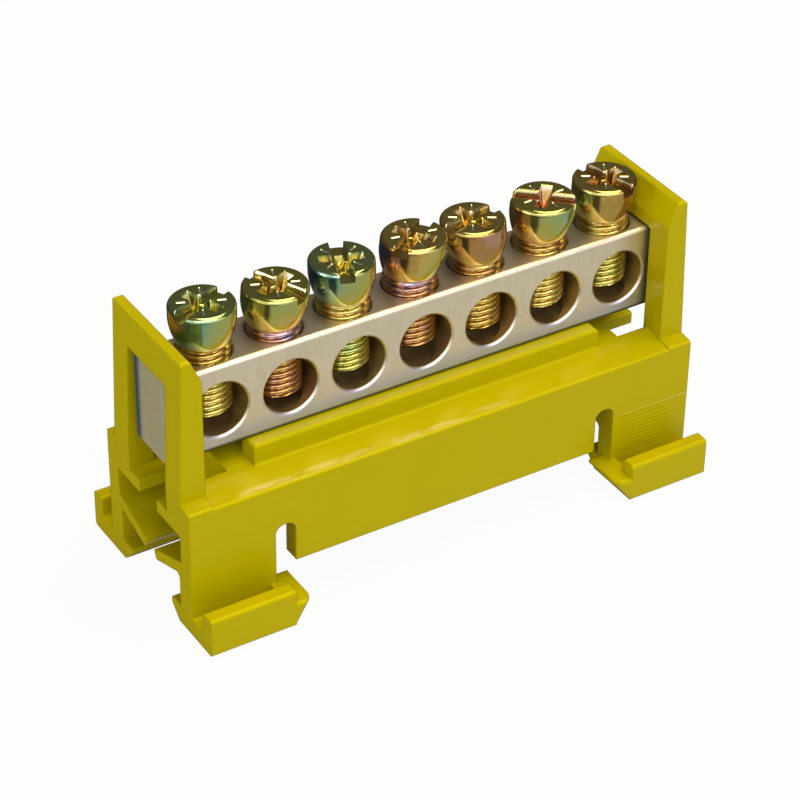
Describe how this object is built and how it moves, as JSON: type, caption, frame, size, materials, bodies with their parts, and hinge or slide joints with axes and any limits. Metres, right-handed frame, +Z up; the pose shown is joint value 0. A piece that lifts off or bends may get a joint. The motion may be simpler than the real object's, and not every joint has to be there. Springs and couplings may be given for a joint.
{
  "type": "earth terminal bar",
  "caption": "Row of screw terminals: drilled rectangular metal bar with clamp screws in a yellow one-piece plastic holder that snaps on a 35 mm rail.",
  "frame": {"origin": "centre of the footprint, on the plane that the four feet stand on", "axes": "+X along the bar to the right, +Y to the back, +Z up out of the screw heads"},
  "size_m": [0.0522, 0.022, 0.0285],
  "materials": {
    "yellow_plastic": "moulded, satin to gloss",
    "plated_bar": "drawn bar with a dull white-metal plating, sawn ends",
    "passivated_screw": "zinc plated, yellow passivated"
  },
  "bodies": {
    "base": {"holder": "yellow_plastic", "terminal_bar": "plated_bar"},
    "clamp_screw_1": {"screw_1": "passivated_screw"},
    "clamp_screw_2": {"screw_2": "passivated_screw"},
    "clamp_screw_3": {"screw_3": "passivated_screw"},
    "clamp_screw_4": {"screw_4": "passivated_screw"},
    "clamp_screw_5": {"screw_5": "passivated_screw"},
    "clamp_screw_6": {"screw_6": "passivated_screw"},
    "clamp_screw_7": {"screw_7": "passivated_screw"}
  },
  "joints": [
    {"name": "screw_1_travel", "type": "slide", "parent": "base", "child": "clamp_screw_1", "axis": [0, 0, 1], "range_m": [-0.00105, 0.0041]},
    {"name": "screw_2_travel", "type": "slide", "parent": "base", "child": "clamp_screw_2", "axis": [0, 0, 1], "range_m": [-0.00065, 0.0045]},
    {"name": "screw_3_travel", "type": "slide", "parent": "base", "child": "clamp_screw_3", "axis": [0, 0, 1], "range_m": [-0.00105, 0.0041]},
    {"name": "screw_4_travel", "type": "slide", "parent": "base", "child": "clamp_screw_4", "axis": [0, 0, 1], "range_m": [-0.00125, 0.0039]},
    {"name": "screw_5_travel", "type": "slide", "parent": "base", "child": "clamp_screw_5", "axis": [0, 0, 1], "range_m": [-0.0008, 0.00435]},
    {"name": "screw_6_travel", "type": "slide", "parent": "base", "child": "clamp_screw_6", "axis": [0, 0, 1], "range_m": [-0.0009, 0.00425]},
    {"name": "screw_7_travel", "type": "slide", "parent": "base", "child": "clamp_screw_7", "axis": [0, 0, 1], "range_m": [-0.0009, 0.00425]}
  ]
}
